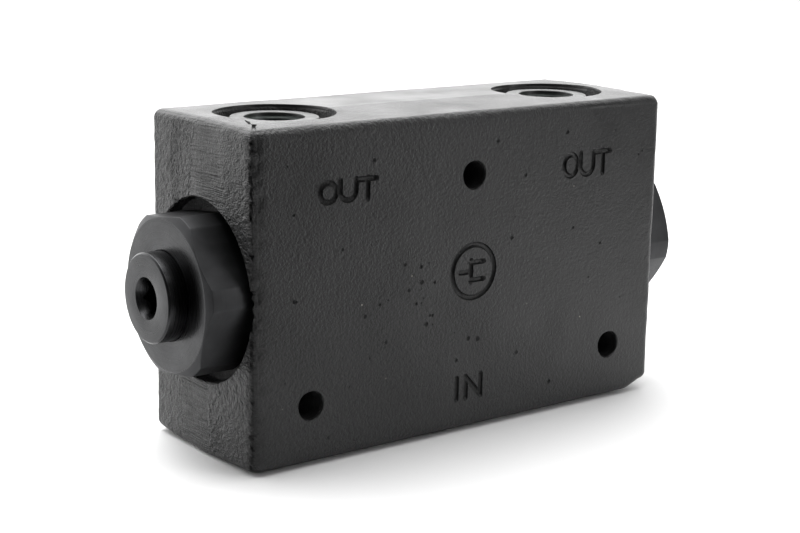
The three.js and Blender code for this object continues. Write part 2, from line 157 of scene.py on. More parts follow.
# What the grinder took off the left end, as the arguments of shaving().
GROUND_STRIPS = [
    (62.0, TOP + 1, (5.3, 1.9), -11.5, 0.27, True),
    (62.0, TOP + 1, (5.1, 1.7), 15.0, 0.36, False),
    (-1.0, 21.0, (-3.6, -3.5), 10.5, 0.33, True),
    (-1.0, 21.0, (-3.4, -3.3), -14.0, 0.28, False),
]
# The crack by the left port, as x, y and half its width.
CRACK = [(-58.7, -8.8, 0.2), (-59.4, -11.2, 0.55), (-60.8, -14.3, 0.4), (-60.3, -15.5, 0.7),
         (-61.9, -17.6, 0.5), (-63.0, -19.5, 0.6), (-64.4, -21.4, 0.4)]

# How many points go round a circle.
MANY = 160
SOME = 96
FEW = 48


# ---- The camera ----

AZIMUTH = 37.51
ELEVATION = 12.94
ROLL = 0.975
LENS = 75.06
DISTANCE = 0.444
MIDDLE = (Vector(cad_box[0]) + Vector(cad_box[1])) / 2
TARGET = MIDDLE + Vector((-3.62, 1.99, -2.66)) * MM

# The studio's strength in front of the valve and behind it, and the way to its brightest side.
WORLD_FRONT = 0.12
WORLD_BACK = 2.8
WORLD_AZIMUTH = AZIMUTH - 25
# The floor ends this far in front of the valve and to the right of it.
FLOOR_NEAR = -112
FLOOR_RIGHT = 290


def placed(name, data):
    """A new object in the scene."""
    obj = bpy.data.objects.new(name, data)
    bpy.context.scene.collection.objects.link(obj)
    return obj


def unit(azimuth, elevation):
    """A direction, from an azimuth turned from +Y towards +X and an elevation, in degrees."""
    turn, rise = radians(azimuth), radians(elevation)
    return Vector((sin(turn) * cos(rise), cos(turn) * cos(rise), sin(rise)))


def add_camera():
    roll = radians(ROLL)
    forward = unit(AZIMUTH, -ELEVATION)
    level = forward.cross(Vector((0, 0, 1))).normalized()
    above = level.cross(forward)
    right = level * cos(roll) + above * sin(roll)
    up = above * cos(roll) - level * sin(roll)
    lens = bpy.data.cameras.new("camera")
    lens.lens = LENS
    lens.clip_start = 0.01
    lens.clip_end = 50
    camera = placed("camera", lens)
    turned_to = Matrix((right, up, -forward)).transposed().to_4x4()
    camera.matrix_world = Matrix.Translation(TARGET - forward * DISTANCE) @ turned_to
    bpy.context.scene.camera = camera


add_camera()


# ---- Meshes ----

# Shading turns sharp at edges that bend by more than this many degrees.
SHARP_ANGLE = 32


def make_mesh(name, points, faces, slots=None, sharp_angle=SHARP_ANGLE):
    """A mesh object from points in millimetres, joined where they meet and facing outwards. slots are
    material numbers, one for each face."""
    mesh = bpy.data.meshes.new(name)
    points = np.asarray(points, float).reshape(-1, 3) * MM
    mesh.from_pydata([tuple(point) for point in points], [], faces)
    if slots is not None:
        mesh.polygons.foreach_set("material_index", slots)
    work = bmesh.new()
    work.from_mesh(mesh)
    bmesh.ops.remove_doubles(work, verts=work.verts, dist=1e-8)
    bmesh.ops.dissolve_degenerate(work, edges=work.edges, dist=1e-9)
    bmesh.ops.recalc_face_normals(work, faces=work.faces)
    work.to_mesh(mesh)
    work.free()
    shade(mesh, sharp_angle)
    return placed(name, mesh)


def shade(mesh, sharp_angle):
    mesh.polygons.foreach_set("use_smooth", [True] * len(mesh.polygons))
    mesh.set_sharp_from_angle(angle=radians(sharp_angle))


def moved(obj, by=(0, 0, 0), turned_about=None, angle=0):
    """Moves a mesh by a distance in millimetres, after any turn about an axis through the origin."""
    if turned_about:
        obj.data.transform(Matrix.Rotation(radians(angle), 4, turned_about))
    obj.data.transform(Matrix.Translation(Vector(by) * MM))
    return obj


def half_turn(obj):
    """Turns a mesh from the right end of the valve to the left."""
    return moved(obj, turned_about="Z", angle=180)


def unit_rows(vectors):
    return vectors / np.linalg.norm(vectors, axis=1, keepdims=True)


def rounded(outline, closed):
    """Draws each corner's fillet as a short curve. The outline is a list of (along, radius, fillet),
    and the result a list of (along, radius, whether it starts a stretch of fillet)."""
    steps = 3
    count = len(outline)
    result = []
    for index, (along, radius, fillet) in enumerate(outline):
        if not fillet or not closed and index in (0, count - 1):
            result.append((along, radius, False))
            continue
        corner = np.array([along, radius])
        sides = []
        for other in (outline[index - 1], outline[(index + 1) % count]):
            way = np.array(other[:2]) - corner
            length = max(np.linalg.norm(way), 1e-9)
            sides.append(corner + way / length * min(fillet, 0.45 * length))
        for step in range(steps + 1):
            s = step / steps
            place = (1 - s) ** 2 * sides[0] + 2 * s * (1 - s) * corner + s * s * sides[1]
            result.append((place[0], place[1], step < steps))
    return result


def mirrored(outline):
    """An outline mirrored in the plane across the axis, with its points in the opposite order."""
    return [(-along, radius, fillet) for along, radius, fillet in reversed(outline)]


def axis_points(along, radius, angle, axis):
    """Points about an axis. About X, angle 0 is up and a positive angle leans towards -Y."""
    one, other = radius * np.cos(angle), radius * np.sin(angle)
    if axis == "x":
        return np.stack([along, -other, AXIS + one], -1)
    if axis == "y":
        return np.stack([one, along, other], -1)
    return np.stack([one, other, along], -1)


def grid_faces(rows, columns, rows_closed, columns_closed):
    """Faces between the neighbouring points of a grid, numbered row after row. A closed direction
    joins its last points to its first."""
    faces = []
    for row in range(rows if rows_closed else rows - 1):
        following = (row + 1) % rows
        for column in range(columns if columns_closed else columns - 1):
            beside = (column + 1) % columns
            here, there = row * columns, following * columns
            faces.append((here + column, there + column, there + beside, here + beside))
    return faces


def end_faces(rows, columns):
    """The two faces that close a tube of points at its first row and its last."""
    last = (rows - 1) * columns
    return [tuple(range(columns))[::-1], tuple(range(last, last + columns))]


def turned(name, outline_at, angles=MANY, closed=False, axis="x", wear_and_highlight=False, sharp_angle=SHARP_ANGLE):
    """A solid turned about an axis. outline_at gives the outline for an angle, so the solid may be a
    hexagon or a thread. Where wear_and_highlight is true, the fillets are faces of material 1: worn edges
    with a painted highlight."""
    if isinstance(angles, int):
        angles = np.arange(angles) * 2 * pi / angles
    rings = [rounded(outline_at(angle), closed) for angle in angles]
    table = np.array([[(a, r) for a, r, _ in ring] for ring in rings])
    rows, columns = table.shape[:2]
    points = axis_points(table[..., 0], table[..., 1], angles[:, None], axis)
    faces = grid_faces(rows, columns, True, closed)
    across = columns if closed else columns - 1
    slots = [int(wear_and_highlight and ring[column][2]) for ring in rings for column in range(across)]
    return make_mesh(name, points, faces, slots, sharp_angle)


def marked_angles(marks, count, spread):
    """Even angles round a circle, with a pair close to each mark in degrees, for a narrow bevel."""
    even = [360 * index / count for index in range(count)]
    pairs = [(mark + side) % 360 for mark in marks for side in (-spread, spread)]
    clear = [angle for angle in even if all(abs(angle - pair) > spread * 2 for pair in pairs)]
    return np.radians(sorted(clear + pairs))


def hexagon_radius(angle, across_flats, turned_by):
    """How far a hexagon's side is from its centre. The middle of a flat is at turned_by degrees."""
    wedge = (degrees(angle) - turned_by + 30) % 60 - 30
    return across_flats / 2 / cos(radians(wedge))


def thread(start, end, radius, depth, pitch, angle):
    """Outline points of a helical thread between two places, cut into a cylinder."""
    samples = int(abs(end - start) / pitch * 6)
    points = []
    for index in range(samples + 1):
        along = start + (end - start) * index / samples
        phase = (along / pitch - angle / (2 * pi)) % 1
        runout = min(1, 4 * min(index, samples - index) / samples)
        points.append((along, radius - depth * runout * abs(2 * phase - 1), 0))
    return points


def sweep(name, path, radii, across, closed=False, sides=12, flat_between=None):
    """A round bar along a path. across is a direction that the path never runs along."""
    path = np.asarray(path, float)
    count = len(path)
    if closed:
        tangent = np.roll(path, -1, 0) - np.roll(path, 1, 0)
    else:
        tangent = np.gradient(path, axis=0)
    tangent = unit_rows(tangent)
    first = unit_rows(np.cross(tangent, across))
    second = np.cross(tangent, first)
    turn = (np.arange(sides) * 2 * pi / sides)[:, None]
    radii = np.broadcast_to(np.asarray(radii, float), (count,))[:, None, None]
    points = path[:, None] + radii * np.cos(turn) * first[:, None] + radii * np.sin(turn) * second[:, None]
    if flat_between:
        points[..., 0] = np.clip(points[..., 0], *flat_between)
    faces = grid_faces(count, sides, closed, True)
    if not closed:
        faces += end_faces(count, sides)
    return make_mesh(name, points, faces, sharp_angle=40)


def cut_from(obj, tools):
    """Cuts closed meshes from another and removes them."""
    for tool in tools:
        modifier = obj.modifiers.new("cut", "BOOLEAN")
        modifier.operation = "DIFFERENCE"
        modifier.solver = "MANIFOLD"
        modifier.object = tool
    bpy.context.view_layer.update()
    graph = bpy.context.evaluated_depsgraph_get()
    result = bpy.data.meshes.new_from_object(obj.evaluated_get(graph))
    obj.modifiers.clear()
    obj.data = result
    for tool in tools:
        bpy.data.objects.remove(tool)
    shade(result, SHARP_ANGLE)
    return obj


def finished(obj, node, materials):
    """Gives a piece its materials, and makes it stand for a CAD node and move with its body."""
    obj.data.materials.clear()
    for material in materials:
        obj.data.materials.append(material)
    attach(obj, BODY_OF[node])
    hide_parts(node)


class Noise:
    """Smooth noise between -1 and 1 that is the same each run."""

    SIZE = 32

    def __init__(self, seed):
        self.table = np.random.default_rng(seed).random((self.SIZE,) * 3) * 2 - 1

    def __call__(self, points, cell):
        """cell is the size of the noise's lumps: one number, or one for each direction."""
        scaled = np.asarray(points) / cell
        base = np.floor(scaled).astype(int)
        part = scaled - base
        part = part * part * (3 - 2 * part)
        total = np.zeros(len(scaled))
        for corner in np.ndindex(2, 2, 2):
            share = np.prod(np.where(corner, part, 1 - part), axis=1)
            at = (base + corner) % self.SIZE
            total += share * self.table[at[:, 0], at[:, 1], at[:, 2]]
        return total


def smooth_step(low, high, value):
    """0 below low, 1 above high, and a smooth change between. Low may be the larger."""
    t = np.clip((value - low) / (high - low), 0, 1)
    return t * t * (3 - 2 * t)


# ---- The casting ----

SKIN_DEPTH = 0.08
grain_noise = Noise(11)
lump_noise = Noise(12)
chip_noise = Noise(13)


def grid_lines(half):
    """Places of grid lines from -half to half, close together where the edges are rounded."""
    steps = 4
    flat = half - EDGE_RADIUS
    spacing = 0.87
    middle = np.linspace(-flat, flat, int(2 * flat / spacing) + 1)
    turn = np.arange(1, steps + 1) / steps * pi / 4
    outer = flat + EDGE_RADIUS * np.tan(turn)
    return np.concatenate([-outer[::-1], middle, outer])


def box_grid():
    """A closed grid over a box of the casting's size, centred on the origin."""
    lines = [grid_lines(half) for half in HALF]
    points = []
    faces = []
    total = 0
    for axis in range(3):
        one, two = (other for other in range(3) if other != axis)
        for side in (-1, 1):
            across, up = np.meshgrid(lines[one], lines[two], indexing="ij")
            block = np.zeros(across.shape + (3,))
            block[..., axis] = side * HALF[axis]
            block[..., one] = across
            block[..., two] = up
            rows, columns = across.shape
            number = total + np.arange(rows * columns).reshape(rows, columns)
            corners = (number[:-1, :-1], number[1:, :-1], number[1:, 1:], number[:-1, 1:])
            faces.append(np.stack([corner.ravel() for corner in corners], -1))
            points.append(block.reshape(-1, 3))
            total += rows * columns
    return np.concatenate(points), np.concatenate(faces)


def worn_skin(grid):
    """Maps the box grid to the casting's skin: rounded edges, leaning faces, cast roughness and a
    lifted bottom edge at the right front corner. Roughness only goes inwards, so the casting keeps its
    size."""
    x, y, z = grid.T
    low_right = smooth_step(9, 1.5, HALF[0] - x) * smooth_step(12, 2, z + HALF[2])
    front = smooth_step(20, 6, y + HALF[1])
    radius = EDGE_RADIUS * (1 + 0.12 * lump_noise(grid, 9.0))[:, None]
    inner = np.clip(grid, -(HALF - radius), HALF - radius)
    outwards = unit_rows(grid - inner)
    skin = inner + radius * outwards
    ridge = 1 - np.abs(skin[:, 1]) / HALF[1]
    skin[:, 0] *= 1 + LEAN.ends / HALF[0] * ridge
    skin[:, 2] *= 1 + np.where(z > 0, LEAN.top, LEAN.bottom) / HALF[2] * ridge
    skin[:, 2] += MIDDLE_Z + 2.1 * low_right * front

    at_end = smooth_step(6, 1, HALF[0] - np.abs(x))
    at_top = smooth_step(3, 1, HALF[2] - z)
    far_top = at_top * smooth_step(-1.5, 1.5, y)
    left_front = smooth_step(3.8, 1.0, np.hypot(x + HALF[0], y + HALF[1]))
    top_edge = smooth_step(2.2, 0.8, np.hypot(HALF[2] - z, y + HALF[1]))
    grain = 0.5 + 0.5 * grain_noise(skin, 1.7)
    lumps = 0.5 + 0.5 * lump_noise(skin, 14.0)
    pits = smooth_step(0.25, 0.75, grain_noise(skin + 50, 2.3))
    chips = smooth_step(-0.15, 0.55, chip_noise(skin, (1.6, 1.6, 1.1)))
    rough = 0.028 - 0.016 * smooth_step(-50, 10, x) + 0.08 * at_end + 0.02 * at_top
    depth = rough * grain * (1 - 0.8 * far_top) + 0.10 * lumps
    depth += 0.09 * pits * at_end
    depth += 0.6 * chips * left_front + 0.10 * chips * top_edge
    return skin - outwards * depth[:, None]


def axial_outline(angle):
    seat = RECESS_FLOOR - SOCKET_BORE.seat_depth
    past = HALF[0] + 4
    half = [
        (BORE.inlet_end, BORE.chamber, 0.4), (BORE.inlet_end, BORE.radius, 0.1),
        (BORE.outlet_from, BORE.radius, 0.1), (BORE.outlet_from, BORE.chamber, 0.4),
        (BORE.outlet_to, BORE.chamber, 0.4), (BORE.outlet_to, BORE.radius, 0.1),
        (SOCKET_BORE.inner, BORE.radius, 0.3), (SOCKET_BORE.inner, SOCKET_BORE.radius, 0.2),
    ]
    half += thread(SOCKET_BORE.inner + 1.5, seat - 0.5, SOCKET_BORE.radius, -0.7,
                   SOCKET_BORE.pitch, angle)
    half += [
        (seat, SOCKET_BORE.radius, 0.2), (seat, SOCKET_BORE.seat_radius, 0.3),
        (past, SOCKET_BORE.seat_radius, 0), (past, 0, 0),
    ]
    return mirrored(half) + half


def recess_outline(angle):
    wander = 0.12 * sin(2 * angle + 0.6) + 0.05 * sin(5 * angle)
    rim = RECESS.radius + wander
    return [
        (RECESS_FLOOR, 0, 0), (RECESS_FLOOR, rim, 0.7), (HALF[0] - 0.35, rim, 0.2),
        (HALF[0] + 4, rim + 3.2, 0), (HALF[0] + 4, 0, 0),
    ]


def port_outline(angle):
    spot = TOP - PORT.spot_depth
    tap_end = spot - PORT.tap_depth
    tap_top = spot - PORT.seal_depth
    tapped = thread(tap_end + 1, tap_top - 0.3, PORT.tap_radius, -0.75, PORT.pitch, angle)
    return [
        (tap_end - PORT.point, 0, 0), (tap_end, PORT.tap_radius, 0.2), *tapped,
        (tap_top, PORT.tap_radius, 0), (spot, PORT.seal_radius, 0.1),
        (spot, PORT.spot_radius, 0.3), (TOP + 0.1, PORT.spot_radius + 0.12, 0.3),
        (TOP + 3, PORT.spot_radius + 1.6, 0), (TOP + 3, 0, 0),
    ]


def bolt_hole_outline(angle):
    face = HALF[1]
    lip = BOLT_HOLE.lip * (1 + 0.3 * sin(3 * angle))
    half = [
        (face - lip - 0.1, BOLT_HOLE.radius, 0.2), (face, BOLT_HOLE.radius + lip, 0.2),
        (face + 2, BOLT_HOLE.radius + lip + 1.6, 0), (face + 2, 0, 0),
    ]
    return mirrored(half) + half


def at_port(index, obj):
    """Moves a mesh built about Z to a port: 0 and 1 are the left and right outlets in the top, and 2 is
    the inlet, which points down."""
    if index == 2:
        return moved(obj, (0, 0, 2 * MIDDLE_Z), "X", 180)
    return moved(obj, ((-OUTLET_X, OUTLET_X)[index], 0, 0))


def groove(points, width=STROKE, closed=False, depth=0.85):
    """A tool for a cast-in groove in the front face, along points given as (x, z). An open groove
    runs out softly at its ends."""
    radius = (width * width / 4 + depth * depth) / (2 * depth)
    path = [np.array((x, -HALF[1] + SKIN_DEPTH + depth - radius, z)) for x, z in points]
    if not closed:
        outwards = np.array((0, -0.8 * depth, 0))
        for end, beside, place in ((path[0], path[1], 0), (path[-1], path[-2], len(path) + 1)):
            way = (end - beside) / np.linalg.norm(end - beside)
            path.insert(place, end + 0.5 * way + outwards)
    return sweep("groove", path, radius, (0, 1, 0), closed=closed, sides=24)


def oval(centre, wide, high, count=28, start=0, end=360):
    """Points (x, z) round an oval, or part of one, anticlockwise from +X."""
    angles = np.radians(np.linspace(start, end, count, endpoint=(end - start) < 360))
    return [(centre[0] + wide / 2 * cos(a), centre[1] + high / 2 * sin(a)) for a in angles]


def port_letters(word, left, right, foot, head):
    """Grooves for a port's generic mark, OUT or IN, in block letters of the script's own."""
    letters = []
    gap = 1.25
    width = (right - left) / (gap * len(word) - gap + 1)
    if word == "IN":
        width = (right - left) * 0.62
    at = left
    tall = head - foot
    for letter in word:
        middle, end = at + width / 2, at + width
        if letter == "O":
            letters.append(groove(oval((middle, foot + tall / 2), width, tall), closed=True))
        if letter == "U":
            bowl = oval((middle, foot + width / 2), width, width, 12, 180, 360)
            letters.append(groove([(at, head), *bowl, (end, head)]))
        if letter == "T":
            letters.append(groove([(at, head), (end, head)]))
            letters.append(groove([(middle, head + 0.1), (middle, foot)]))
        if letter == "I":
            letters.append(groove([(at, head), (at, foot)]))
            at += (right - left) * 0.38 - width * gap
        if letter == "N":
            strokes = [(at, foot), (at, head), (end, foot), (end, head)]
            letters += [groove(ends) for ends in zip(strokes, strokes[1:])]
        at += width * gap
    return letters


def flow_mark(x, z):
    """Grooves for a generic round mark: one line that divides into two, for a flow divider."""
    prong, fork, tail, tips, past = 2.3, x - 0.8, x - 4.0, x + 3.2, 0.3
    lines = [
        [(tail, z), (fork, z)],
        [(fork, z - prong - past), (fork, z + prong + past)],
        [(fork, z - prong), (tips, z - prong)],
        [(fork, z + prong), (tips, z + prong)],
    ]
    rim = oval((x, z), FLOW_MARK.across, FLOW_MARK.across, 64)
    return [groove(rim, closed=True, depth=0.8)] + [groove(ends, FLOW_MARK.stroke) for ends in lines]


def shaving(z_from, z_to, sharp, fades_at, depth, ridged):
    """A tool that takes a thin wedge off the left end face between two heights. It is deepest along a
    straight edge, from y = sharp[0] to y = sharp[1], and fades to nothing at fades_at. It leaves
    ridges along Y like a coarse grinder's, or a lumpy surface."""
    random = np.random.default_rng(int(abs(z_from) * 10 + abs(fades_at) * 7))
    heights = np.arange(z_from, z_to, 0.16)
    count = len(heights)
    columns = 13

    def wander(size, width):
        steps = random.normal(0, size, count + width)
        return np.convolve(steps, np.ones(width) / width, "same")[:count]

    ridges = wander(0.075, 3) if ridged else wander(0.02, 3)
    share = (heights - z_from) / (z_to - z_from)
    edge = sharp[0] + (sharp[1] - sharp[0]) * share
    fade = fades_at + wander(2.5, 9)
    rings = []
    for column in range(columns):
        s = column / (columns - 1)
        y = edge + (fade - edge) * s
        surface = -HALF[0] - LEAN.ends * (1 - np.abs(y) / HALF[1])
        fading = 1 - smooth_step(0.55, 1.0, s)
        lumps = wander(0.02 if ridged else 0.09, 4)
        x = surface + (depth + ridges + lumps) * fading - 0.05 * (1 - fading) + 0.05 * s
        rings.append(np.stack([x, y, heights], -1))
    for y in (fade, edge):
        rings.append(np.stack([np.full(count, -HALF[0] - 3), y, heights], -1))
    rings = np.stack(rings, 1)
    around = rings.shape[1]
    faces = grid_faces(count, around, False, True) + end_faces(count, around)
    return make_mesh("shaving", rings, faces)


def pit_tools():
    """Small round pits in the front, at random places that are the same each run, some of them in one
    cluster. The last tool is for the crack in the top."""
    random = np.random.default_rng(29)
    pits = []
    places = [(random.uniform(-60, 60), random.uniform(5, 78)) for _ in range(30)]
    places += [(random.normal(-19, 5), random.normal(37, 5)) for _ in range(14)]
    for x, z in places:
        size = random.uniform(0.3, 0.75)
        half_circle = [(-size * cos(turn), size * sin(turn), 0) for turn in np.arange(7) * pi / 6]
        ball = turned("pit", lambda angle: half_circle, 10, axis="z")
        pits.append(moved(ball, (x, -HALF[1] + SKIN_DEPTH - size * 0.4, z)))
    path = [(x, y, TOP + LEAN.top * (1 - abs(y) / HALF[1]) - 0.2) for x, y, _ in CRACK]
    pits.append(sweep("crack", path, [radius for _, _, radius in CRACK], (0, 0, 1), sides=6))
    return pits


def valve_body():
    grid, faces = box_grid()
    body = make_mesh("valve_casting", worn_skin(grid), faces.tolist())
    deep, wide = HALF[2] * 3, 130
    under = [(-deep, 0, 0), (-deep, wide, 0), (0, wide, 0), (0, 0, 0)]
    tools = [
        turned("axial", axial_outline, SOME),
        turned("recess", recess_outline, MANY),
        half_turn(turned("recess", recess_outline, MANY)),
        *[at_port(index, turned("port", port_outline, SOME, axis="z")) for index in range(3)],
    ]
    for ends in WAYS:
        path = [(x, 0, z) for x, z in ends]
        tools.append(sweep("way", path, WAY_RADIUS, (0, 1, 0), sides=24))
    tools.append(turned("underside", lambda angle: under, 4, axis="z"))
    for x, z in BOLT_PLACES:
        tools.append(moved(turned("bolt_hole", bolt_hole_outline, FEW, axis="y"), (x, 0, z)))
    for word in PORT_WORDS:
        tools += port_letters(*word)
    tools += flow_mark(FLOW_MARK.x, FLOW_MARK.z)
    for strip in GROUND_STRIPS:
        tools.append(shaving(*strip))
    tools += pit_tools()
    return cut_from(body, tools)


# ---- The end caps and adjusters ----

LAND_ANGLE = degrees(acos(CAP.flats / 2 / CAP.corner_radius))
CHAMFER_SLOPE = tan(radians(30))


def cap_outline(angle):
    across = min(hexagon_radius(angle, CAP.flats, CAP.turned), CAP.corner_radius)
    chamfer = (across - CAP.face_radius) * CHAMFER_SLOPE
    under_chamfer = max(0.0, across - CAP.face_radius - 0.6) * CHAMFER_SLOPE
    return [
        (CAP_INNER, CAP_BORE.spring, 0.25), (CAP_INNER, CAP.spigot_radius - 1, 0.2),
        (CAP_INNER + 1, CAP.spigot_radius, 0),
        *thread(CAP_INNER + 1.2, CAP.neck_end - 0.4, CAP.spigot_radius, 0.8, 1.5, angle),
        (CAP.neck_end, CAP.spigot_radius, 0.15), (CAP.neck_end, CAP.neck_radius, 0.2),
        (CAP.under, CAP.neck_radius, 0.3),
        (CAP.under, CAP.face_radius + 0.6 * (across > CAP.face_radius + 0.6), 0.1),
        (CAP.under + under_chamfer, across, 0.2), (CAP_END - chamfer, across, 0.14),
        (CAP_END, CAP.face_radius, 0.14), (CAP_END, CAP_BORE.head + 0.1, 0.03),
        (CAP_END - 0.1, CAP_BORE.head, 0.03), (CAP_BORE.head_inner, CAP_BORE.head, 0.2),
        (CAP_BORE.head_inner, CAP_BORE.thread, 0.1),
        *thread(CAP_BORE.head_inner - 0.4, CAP_BORE.web_outer + 1.5, CAP_BORE.thread, -0.5, 1.0, angle),
        (CAP_BORE.web_outer, CAP_BORE.thread, 0.2), (CAP_BORE.web_outer, CAP_BORE.nose, 0.15),
        (CAP_BORE.web_inner, CAP_BORE.nose, 0.15), (CAP_BORE.web_inner, CAP_BORE.spring, 0.3),
    ]


def cap_angles():
    corners = [60 * k + CAP.turned + side * LAND_ANGLE for k in range(6) for side in (-1, 1)]
    return marked_angles([corner % 360 for corner in corners], 240, 0.2)


def adjuster_outline(angle):
    key = hexagon_radius(angle, KEY.flats, KEY.turned)
    floor = HEAD_END - KEY.depth
    thread_start = HEAD.thread_inner + 0.6
    return [
        (NOSE_TIP, 0, 0), (NOSE_TIP, HEAD.nose_radius - 0.8, 0.2),
        (NOSE_TIP + 0.8, HEAD.nose_radius, 0.2), (STOP_GROOVE.start, HEAD.nose_radius, 0.05),
        (STOP_GROOVE.start, STOP_GROOVE.radius, 0.1), (STOP_GROOVE.end, STOP_GROOVE.radius, 0.1),
        (STOP_GROOVE.end, HEAD.nose_radius, 0.05), (HEAD.thread_inner, HEAD.nose_radius, 0.3),
        (HEAD.thread_inner, HEAD.thread_radius - 0.6, 0.1), (thread_start, HEAD.thread_radius, 0),
        *thread(thread_start + 0.1, HEAD.inner - 0.9, HEAD.thread_radius, 0.5, 1.0, angle),
        (HEAD.inner - 0.8, HEAD.thread_radius - 0.5, 0.1), (HEAD.inner, HEAD.thread_radius - 0.5, 0.2),
        (HEAD.inner, HEAD.radius, 0.15), (HEAD.groove_from, HEAD.radius, 0.1),
        (HEAD.groove_from, HEAD.groove_radius, 0.15), (HEAD.groove_to, HEAD.groove_radius, 0.15),
        (HEAD.groove_to, HEAD.radius, 0.1), (HEAD_END - 0.4, HEAD.radius, 0.12),
        (HEAD_END, HEAD.radius - 0.4, 0.12), (HEAD_END, KEY.mouth_radius, 0.1),
        (HEAD_END - KEY.mouth_slope * (KEY.mouth_radius - key), key, 0.05), (floor, key, 0.1),
        (floor, 3.6, 0.1), (floor - 1.6, 0, 0),
    ]


def key_angles():
    return marked_angles([60 * k + KEY.turned + 30 for k in range(6)], 144, 1.2)


# ---- Rings, seats and springs ----

def tube_outline(inner, outer, start, end, fillet):
    """The outline of a ring about X with softened edges."""
    return lambda angle: [
        (start, inner, fillet), (start, outer, fillet), (end, outer, fillet), (end, inner, fillet),
    ]


def snap_ring(name, inner, outer, start, end, gap):
    """A ring about X with a gap at the top, with an ear's hole each side of the gap."""
    middle = (inner + outer) / 2
    lean = atan2(gap / 2 + (outer - inner), middle)

    def outline(angle):
        off_top = abs((angle + pi) % (2 * pi) - pi)
        thin = 0.22 * (outer - inner) * smooth_step(lean * 1.6, pi, off_top)
        return tube_outline(inner, outer - thin, start, end, 0.08)(angle)

    ring = turned(name, outline, SOME, closed=True)
    wide, past = gap / 2 * sqrt(2), outer + 2
    slot = [(0, 0, 0), (0, wide, 0), (past, wide, 0), (past, 0, 0)]
    cutter = turned("slot", lambda angle: slot, 4, axis="z")
    tools = [moved(cutter, ((start + end) / 2, 0, AXIS), "Z", 45)]
    for side in (-1, 1):
        y = middle * sin(side * lean)
        z = AXIS + middle * cos(lean)
        path = [(start - 1, y, z), (end + 1, y, z)]
        tools.append(sweep("eye", path, (outer - inner) * 0.17, (0, 1, 0), sides=14))
    return cut_from(ring, tools)


def o_ring(name, ring_radius, section_radius, x):
    """A rubber ring about X, with the flash line of its mould round the outside and the inside."""
    def outline(angle):
        points = []
        for step in range(24):
            turn = step * pi / 12
            flash = 0.02 * (step in (6, 18))
            radius = section_radius - 0.02 + flash
            points.append((x + radius * cos(turn), ring_radius + radius * sin(turn), 0))
        return points

    return turned(name, outline, SOME, closed=True, sharp_angle=60)


def backup_ring(name):
    """A square ring behind the head's seal, cut through on a slant so that it can be slipped on."""
    ring = turned(name, tube_outline(*BACKUP_RING, 0.08), SOME, closed=True)
    middle = AXIS + 10.3
    cut = sweep("scarf", [(73.0, -0.9, middle), (75.6, 0.9, middle)], 0.12, (0, 0, 1), sides=4)
    for vertex in cut.data.vertices:
        vertex.co.z = (middle + (8 if vertex.co.z / MM > middle else -8)) * MM
    cut.data.update()
    return cut_from(ring, [cut])


def seat_outline(angle):
    return [
        (42.1, 0, 0), (42.1, 10.1, 0.2), (44.1, 10.1, 0.25), (44.1, 7.4, 0.15), (45.3, 7.1, 0.35),
        (45.3, 5.9, 0.2), (44.7, 5.4, 0.2), (44.7, 0, 0),
    ]


def spring_seat(name):
    seat = turned(name, seat_outline, SOME)
    tools = []
    for quarter in range(4):
        turn = quarter * pi / 2
        y = 3.9 * sin(turn)
        z = AXIS + 3.9 * cos(turn)
        tools.append(sweep("vent", [(41, y, z), (46, y, z)], 1.1, (0, 1, 0.3), sides=20))
    return cut_from(seat, tools)


def orifice_outline(angle):
    return [
        (14.12, 2.6, 0), (14.12, 6.85, 0.15), (16.08, 6.85, 0.15), (16.08, 2.1, 0.05),
        (15.5, 1.6, 0.05), (14.9, 1.6, 0.05),
    ]


def centring_spring(name):
    """A coil spring about X with closed, ground ends."""
    wire = 0.88
    start, end = 44.2, 57.9
    turns = 4.5
    count = 300
    share = np.linspace(0, 1, count)
    angle = share * turns * 2 * pi
    closed = 0.85 / turns
    weight = np.where((share < closed) | (share > 1 - closed), 0.45, 1.0)
    rise = np.concatenate([[0], np.cumsum((weight[1:] + weight[:-1]) / 2)])
    rise /= rise[-1]
    x = start + wire * 0.6 + rise * (end - start - wire * 1.2)
    path = axis_points(x, np.full(count, 8.6), angle, "x")
    return sweep(name, path, wire, (1, 0, 0), sides=16, flat_between=(start, end))


# ---- The spool ----

SPOOL = Sizes(radius=11.98, waist=8, waist_radius=9.5, end=47, mouth=10.3, mouth_floor=42, way=7,
              clip_from=16.2, clip_to=17.4, clip_radius=7.6, web=14, web_radius=5.5)
BALANCE_GROOVES = Sizes(places=(15.5, 19.0, 41.2), width=0.8, depth=0.5)
SPOOL_HOLES = [(0, 2.5), (-27, 2.4), (27, 2.4)]
PAST_SPOOL = 14


def spool_outline(angle):
    half = [(SPOOL.waist, SPOOL.waist_radius, 0.4), (SPOOL.waist, SPOOL.radius, 0.08)]
    low = SPOOL.radius - BALANCE_GROOVES.depth
    for start in BALANCE_GROOVES.places:
        end = start + BALANCE_GROOVES.width
        half += [(start, SPOOL.radius, 0.04), (start, low, 0.1), (end, low, 0.1), (end, SPOOL.radius, 0.04)]
    half += [
        (SPOOL.end, SPOOL.radius, 0.25), (SPOOL.end, SPOOL.mouth, 0.25),
        (SPOOL.mouth_floor, SPOOL.mouth, 0.2), (SPOOL.mouth_floor, SPOOL.way, 0.3),
        (SPOOL.clip_to, SPOOL.way, 0.05), (SPOOL.clip_to, SPOOL.clip_radius, 0.08),
        (SPOOL.clip_from, SPOOL.clip_radius, 0.08), (SPOOL.clip_from, SPOOL.way, 0.05),
        (SPOOL.web, SPOOL.way, 0.15), (SPOOL.web, SPOOL.web_radius, 0.3),
    ]
    return half + mirrored(half)


